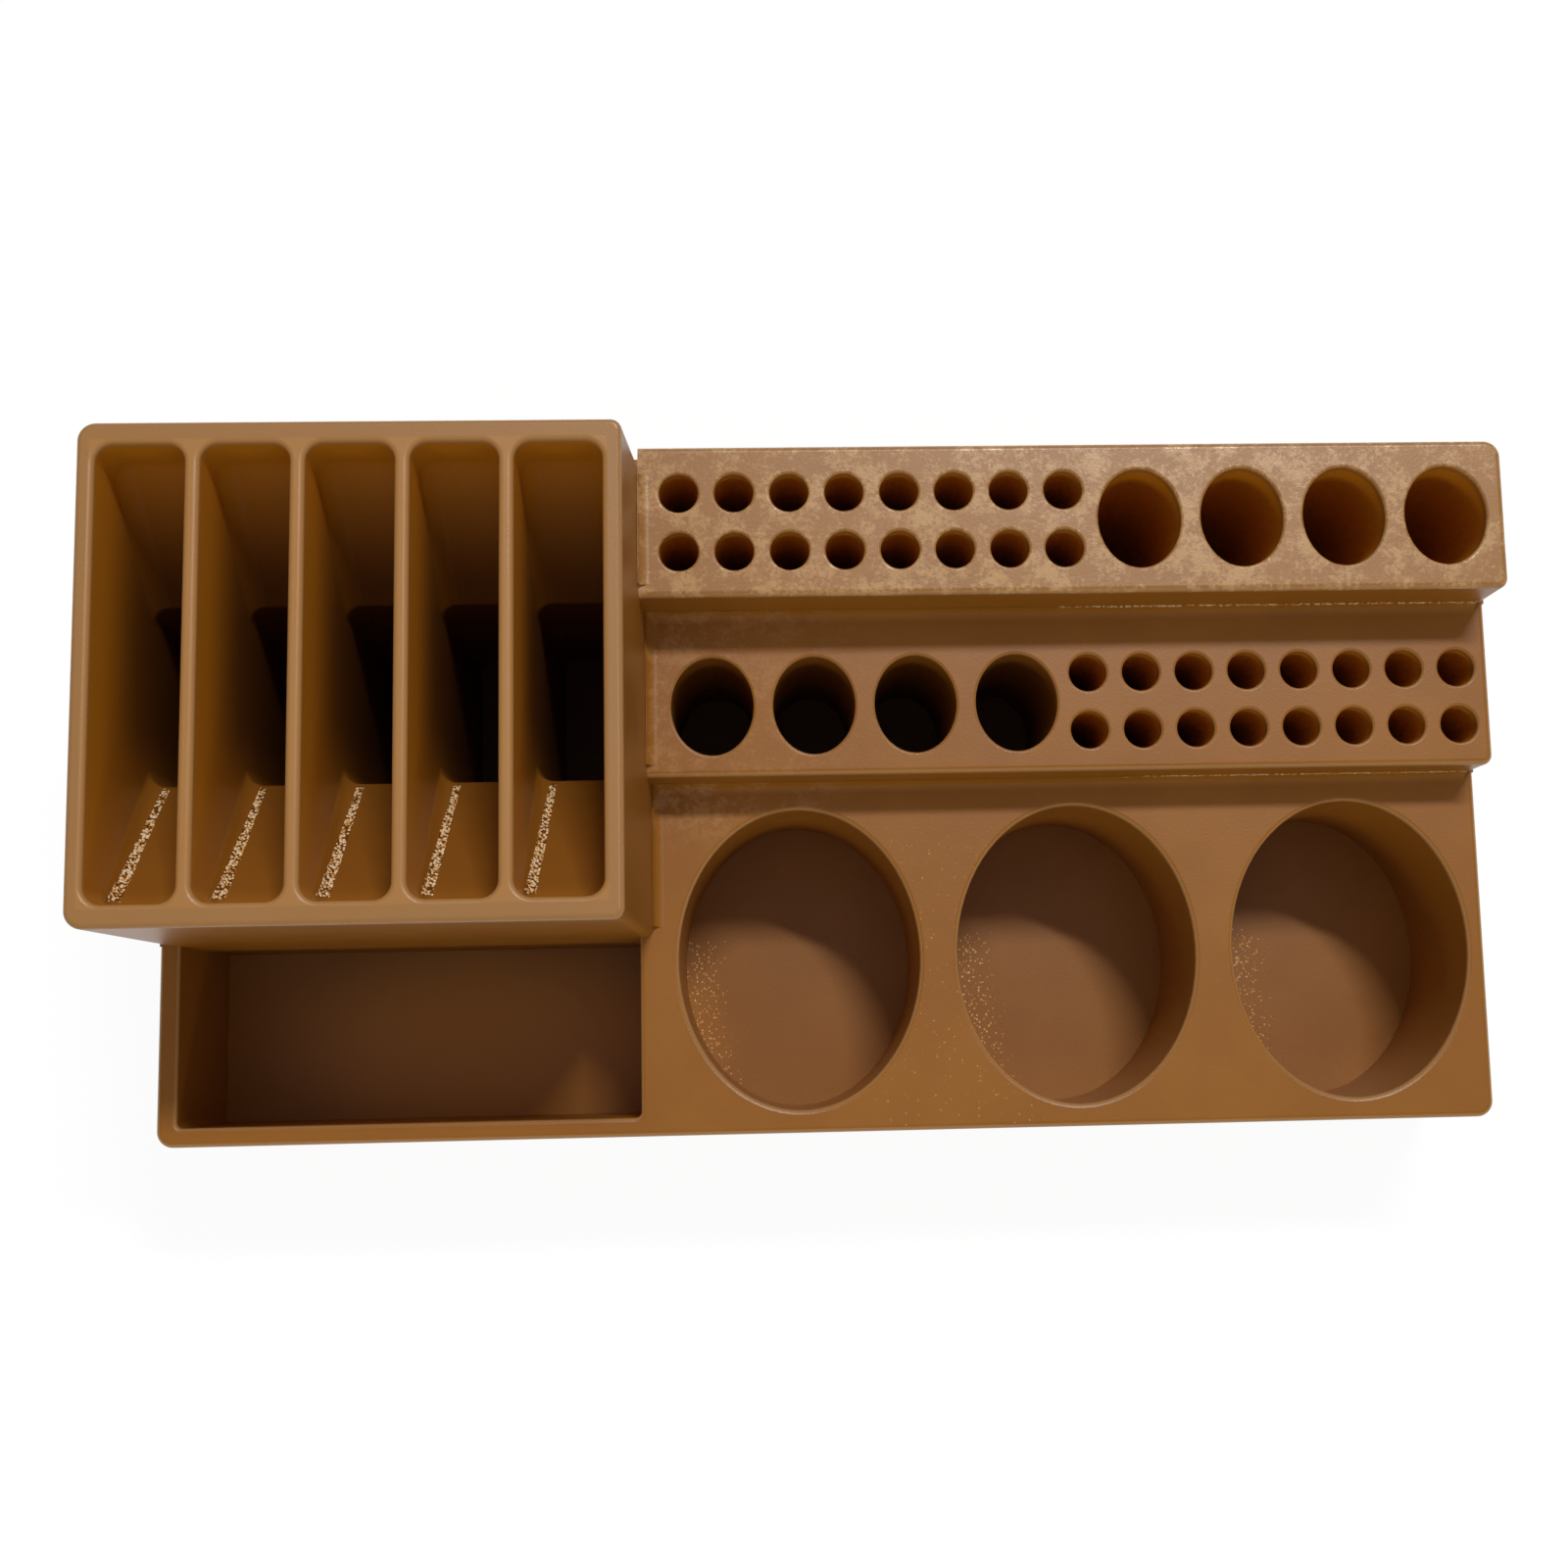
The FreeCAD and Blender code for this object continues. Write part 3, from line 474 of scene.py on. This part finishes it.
# Painted light: the slot walls are warmer near the top.
def slot_wall_light(tree, x, y, z):
    high = ramp(tree, z, BOX_TOP - 0.036, BOX_TOP - 0.004)
    clear = ramp(tree, above_front_ramp(tree, y, z), 0.002, 0.005)
    return product(tree, high, clear, slots_fence(tree, x, y))


# Painted shade: darker deep in the slots, on the front ramps and under the glinting line.
def slot_depth_shade(tree, x, y, z):
    deep = ramp(tree, z, BOX_TOP - 0.008, BOX_TOP - 0.036)
    behind = ramp(tree, y, THROAT_FRONT - 0.004, THROAT_FRONT + 0.012)
    throats = math_node(tree, "MULTIPLY", product(tree, deep, behind), 0.9)
    near_ramp = ramp(tree, above_front_ramp(tree, y, z), 0.004, 0.001)
    past_front = ramp(tree, y, SLOT_FRONT, SLOT_FRONT + 0.004)
    above_throat = ramp(tree, z, 0.050, 0.056)
    ramps = math_node(tree, "MULTIPLY", product(tree, near_ramp, past_front, above_throat), 0.35)
    glinting = math_node(tree, "MULTIPLY", slot_edge_glint(tree, x, y, z), 0.9)
    deepest = math_node(tree, "MAXIMUM", throats, math_node(tree, "MAXIMUM", ramps, glinting))
    return product(tree, deepest, slots_fence(tree, x, y))


# A painted pool of light in the middle of the tray's floor.
def tray_light_pool(tree, x, y, z):
    squares = []
    for place, middle, half in zip((x, y), TRAY_MIDDLE, TRAY_HALF_SIZES):
        share = math_node(tree, "DIVIDE", math_node(tree, "SUBTRACT", place, middle), half)
        squares.append(product(tree, share, share))
    spread = math_node(tree, "ADD", *squares)
    return product(tree, ramp(tree, spread, 1.5, 0.0), plate_top(tree, z))


# Painted shade on the plate at the bottom of the slots and holes.
def plate_shade(tree, x, y, z):
    return product(tree, ramp(tree, y, 0.0020, 0.0035), plate_top(tree, z))


print("masks for the box and the plate ready")

# %% [markdown]
# With the masks at hand the five plastics can be made. Each one names only the masks that it
# needs, and the others stay off.

# %% The five brown plastics
# The pale and warm masks paint light, the dark masks paint shade, and the speck masks paint glints.
box_plastic = brown_plastic("box plastic", glint_mask=slot_edge_glint, pale_light_mask=box_top_light,
                            warm_light_mask=slot_wall_light, shade_mask=slot_depth_shade)
upper_plastic = brown_plastic("upper rack plastic", patch_and_sheen_mask=upper_deck, pale_light_mask=upper_deck_light,
                              warm_light_mask=upper_hole_light, roughness=0.40)
middle_plastic = brown_plastic("middle rack plastic", patch_and_sheen_mask=middle_deck, glint_mask=middle_lip_glints,
                               pale_light_mask=middle_edge_highlight, warm_light_mask=middle_hole_light, shade_mask=middle_hole_shade)
frame_plastic = brown_plastic("frame plastic", patch_and_sheen_mask=front_deck, glint_mask=front_deck_glints,
                              pale_light_mask=front_edge_highlight)
plate_plastic = brown_plastic("plate plastic", glint_mask=cup_floor_glints, warm_light_mask=tray_light_pool,
                              shade_mask=plate_shade, roughness=0.45)
print("brown plastics:", [m.name for m in bpy.data.materials if "plastic" in m.name])

# %% [markdown]
# ## Steel screws and rubber feet
#
# The underside shows two more materials. The countersunk screws are zinc-plated steel: a bright
# metal whose plating is finely streaked and a little uneven in roughness. The feet are matt
# black rubber with a fine pebbled skin, which a bump from small cells gives.

# %% Steel and rubber
ZINC_DULL = (0.46, 0.46, 0.48, 1.0)
ZINC_BRIGHT = (0.70, 0.70, 0.69, 1.0)
RUBBER = (0.016, 0.016, 0.017, 1.0)
RUBBER_DUSTY = (0.05, 0.048, 0.045, 1.0)


def plated_steel():
    material, tree, place = new_material("plated steel")
    cloud = noise(tree, place, 700.0, 5.0)
    wave = {"Vector": place, "Scale": 900.0, "Distortion": 6.0, "Detail": 3.0}
    streaks = add(tree, "ShaderNodeTexWave", wave).outputs["Fac"]
    colour = blend_colour(tree, cloud, ZINC_DULL, ZINC_BRIGHT)
    rough = math_node(tree, "MULTIPLY_ADD", streaks, 0.16, 0.24)
    bump = add(tree, "ShaderNodeBump", {"Height": streaks, "Strength": 0.25, "Distance": 0.00003})
    shader = add(tree, "ShaderNodeBsdfPrincipled",
                 {"Base Color": colour, "Roughness": rough, "Metallic": 1.0,
                  "Normal": bump.outputs["Normal"]})
    add(tree, "ShaderNodeOutputMaterial", {"Surface": shader.outputs["BSDF"]})
    return material


def foot_rubber():
    material, tree, place = new_material("foot rubber")
    cells = add(tree, "ShaderNodeTexVoronoi", {"Vector": place, "Scale": 1400.0})
    dust = noise(tree, place, 240.0, 4.0)
    colour = blend_colour(tree, ramp(tree, dust, 0.45, 0.75), RUBBER, RUBBER_DUSTY)
    rough = math_node(tree, "MULTIPLY_ADD", dust, 0.2, 0.62)
    bump = add(tree, "ShaderNodeBump",
               {"Height": cells.outputs["Distance"], "Strength": 0.4, "Distance": 0.0001})
    shader = add(tree, "ShaderNodeBsdfPrincipled",
                 {"Base Color": colour, "Roughness": rough, "Normal": bump.outputs["Normal"]})
    add(tree, "ShaderNodeOutputMaterial", {"Surface": shader.outputs["BSDF"]})
    return material


steel = plated_steel()
rubber = foot_rubber()
print("small parts:", steel.name, "and", rubber.name)

# %% [markdown]
# ## Give each piece its material
#
# The CAD pieces keep their own shapes and places. Only the contents of their material slots
# change, so nothing that the checks measure is touched.

# %% Assign the materials
FINISHES = {
    "base_plate": plate_plastic,
    "pliers_box": box_plastic,
    "upper_rack": upper_plastic,
    "middle_rack": middle_plastic,
    "cup_tray_frame": frame_plastic,
}
for name, piece in nodes.items():
    if name.endswith("screws"):
        finish = steel
    elif name.startswith("foot"):
        finish = rubber
    else:
        finish = FINISHES[name]
    for slot in piece.material_slots:
        slot.material = finish
    print(name, "->", finish.name)

# %% [markdown]
# ## The table
#
# The photograph has a plain white ground. A large white sheet lies a hair under the feet, and
# the world behind it is white to the camera. To the lamps the sheet is an ordinary matt surface.
# To the camera, and in reflections, a part of it glows, so that it comes out white, and the caddy
# still drops a faint shadow on it and doesn't float. The world is brightest overhead, as a pale
# ceiling is. It is left out of reflections, because the photograph's shadows are deep, warm brown.

# %% A white table
TABLE_GREY = (0.40, 0.40, 0.40, 1.0)
TABLE_GLOW = 1.24
GLOW_SHARE = 0.75
WHITE = (1.0, 1.0, 1.0, 1.0)

bpy.ops.mesh.primitive_plane_add(size=8.0, location=(0.0, 0.0, -0.0002))
table = bpy.context.object
table.name = "white_table"
white = bpy.data.materials.new("white table")
white.use_nodes = True
paper = white.node_tree
paper.nodes.clear()
matt = add(paper, "ShaderNodeBsdfPrincipled", {"Base Color": TABLE_GREY, "Roughness": 0.9})
glow = add(paper, "ShaderNodeEmission", {"Color": WHITE, "Strength": TABLE_GLOW})
paths = add(paper, "ShaderNodeLightPath").outputs
mirrored = math_node(paper, "MAXIMUM", paths["Is Glossy Ray"], paths["Is Transmission Ray"])
viewed = math_node(paper, "MAXIMUM", paths["Is Camera Ray"], mirrored)
seen = math_node(paper, "MULTIPLY", viewed, GLOW_SHARE)
sheet = add(paper, "ShaderNodeMixShader",
            {"Fac": seen, 1: matt.outputs["BSDF"], 2: glow.outputs["Emission"]})
add(paper, "ShaderNodeOutputMaterial", {"Surface": sheet.outputs["Shader"]})
table.data.materials.append(white)
print("table:", table.name)

# %% A white world
ROOM_LEVEL = 0.08
CEILING_RISE = 0.38

world = bpy.context.scene.world
if world is None:
    world = bpy.data.worlds.new("studio")
    bpy.context.scene.world = world
world.use_nodes = True
sky = world.node_tree
sky.nodes.clear()
rays = add(sky, "ShaderNodeLightPath")
direction = add(sky, "ShaderNodeTexCoord").outputs["Generated"]
heading = add(sky, "ShaderNodeSeparateXYZ", {"Vector": direction})
overhead = math_node(sky, "MAXIMUM", heading.outputs["Z"], 0.0)
room = math_node(sky, "MULTIPLY_ADD", overhead, CEILING_RISE, ROOM_LEVEL)
strength = math_node(sky, "ADD", room, rays.outputs["Is Camera Ray"])
backdrop = add(sky, "ShaderNodeBackground", {"Color": WHITE, "Strength": strength})
add(sky, "ShaderNodeOutputWorld", {"Surface": backdrop.outputs["Background"]})
world.cycles_visibility.glossy = False
print("world:", world.name)

# %% [markdown]
# ## Lamps
#
# The shadows in the photograph tell where its lamp was. Each step drops a shadow about two
# thirds as long as it is high, towards the front and a little to the left. So the key lamp
# hangs high behind the caddy, a little to the right, and far off, because the shadows run the
# same way all over. It is long from left to right and narrow the other way. The shadows of the
# steps, which run from left to right, keep a readable edge, and those of the dividers are soft. A
# long, weak strip in front lifts the walls that face the viewer. It is kept out of reflections,
# so that the shadows stay a deep, warm brown.

# %% Key lamp and front strip
def lamp(name, place, target, power, across, along):
    data = bpy.data.lights.new(name, "AREA")
    data.shape = "RECTANGLE"
    data.size = across
    data.size_y = along
    data.energy = power
    item = bpy.data.objects.new(name, data)
    bpy.context.scene.collection.objects.link(item)
    item.location = place
    item.rotation_mode = "QUATERNION"
    item.rotation_quaternion = (Vector(target) - Vector(place)).to_track_quat("-Z", "Y")
    return item


AIM = (0.0, 0.0, 0.04)
key = lamp("key", (0.60, 1.50, 2.56), AIM, 41.0, 0.90, 0.10)
strip = lamp("front strip", (0.0, -0.75, 0.40), AIM, 1.6, 0.9, 0.12)
strip.visible_glossy = False
print("lamps:", key.name, strip.name)

# %% [markdown]
# ## Camera
#
# The photograph was taken from above, close, and slightly off the middle. The place and the turn
# below come from matching the holes and the edges of the caddy to where they lie in the picture.
# The turn is written as an axis whose length is the angle. The small shift moves the picture's
# centre to where the photograph has it.

# %% Camera
TURN = Vector((0.1311228, -0.0438882, -0.0193226))
camera_data = bpy.data.cameras.new("camera")
camera_data.lens = 45.0
camera_data.sensor_width = 36.0
camera_data.shift_x = -0.045
camera_data.shift_y = 0.005
camera_data.clip_start = 0.01
camera_data.clip_end = 50.0
camera = bpy.data.objects.new("camera", camera_data)
bpy.context.scene.collection.objects.link(camera)
camera.rotation_mode = "QUATERNION"
camera.rotation_quaternion = Matrix.Rotation(TURN.length, 3, TURN.normalized()).to_quaternion()
camera.location = (-0.01250, -0.04967, 0.43165)
bpy.context.scene.camera = camera
bpy.context.scene.view_settings.view_transform = "Standard"
print("camera turned by", round(math.degrees(TURN.length), 2), "degrees")
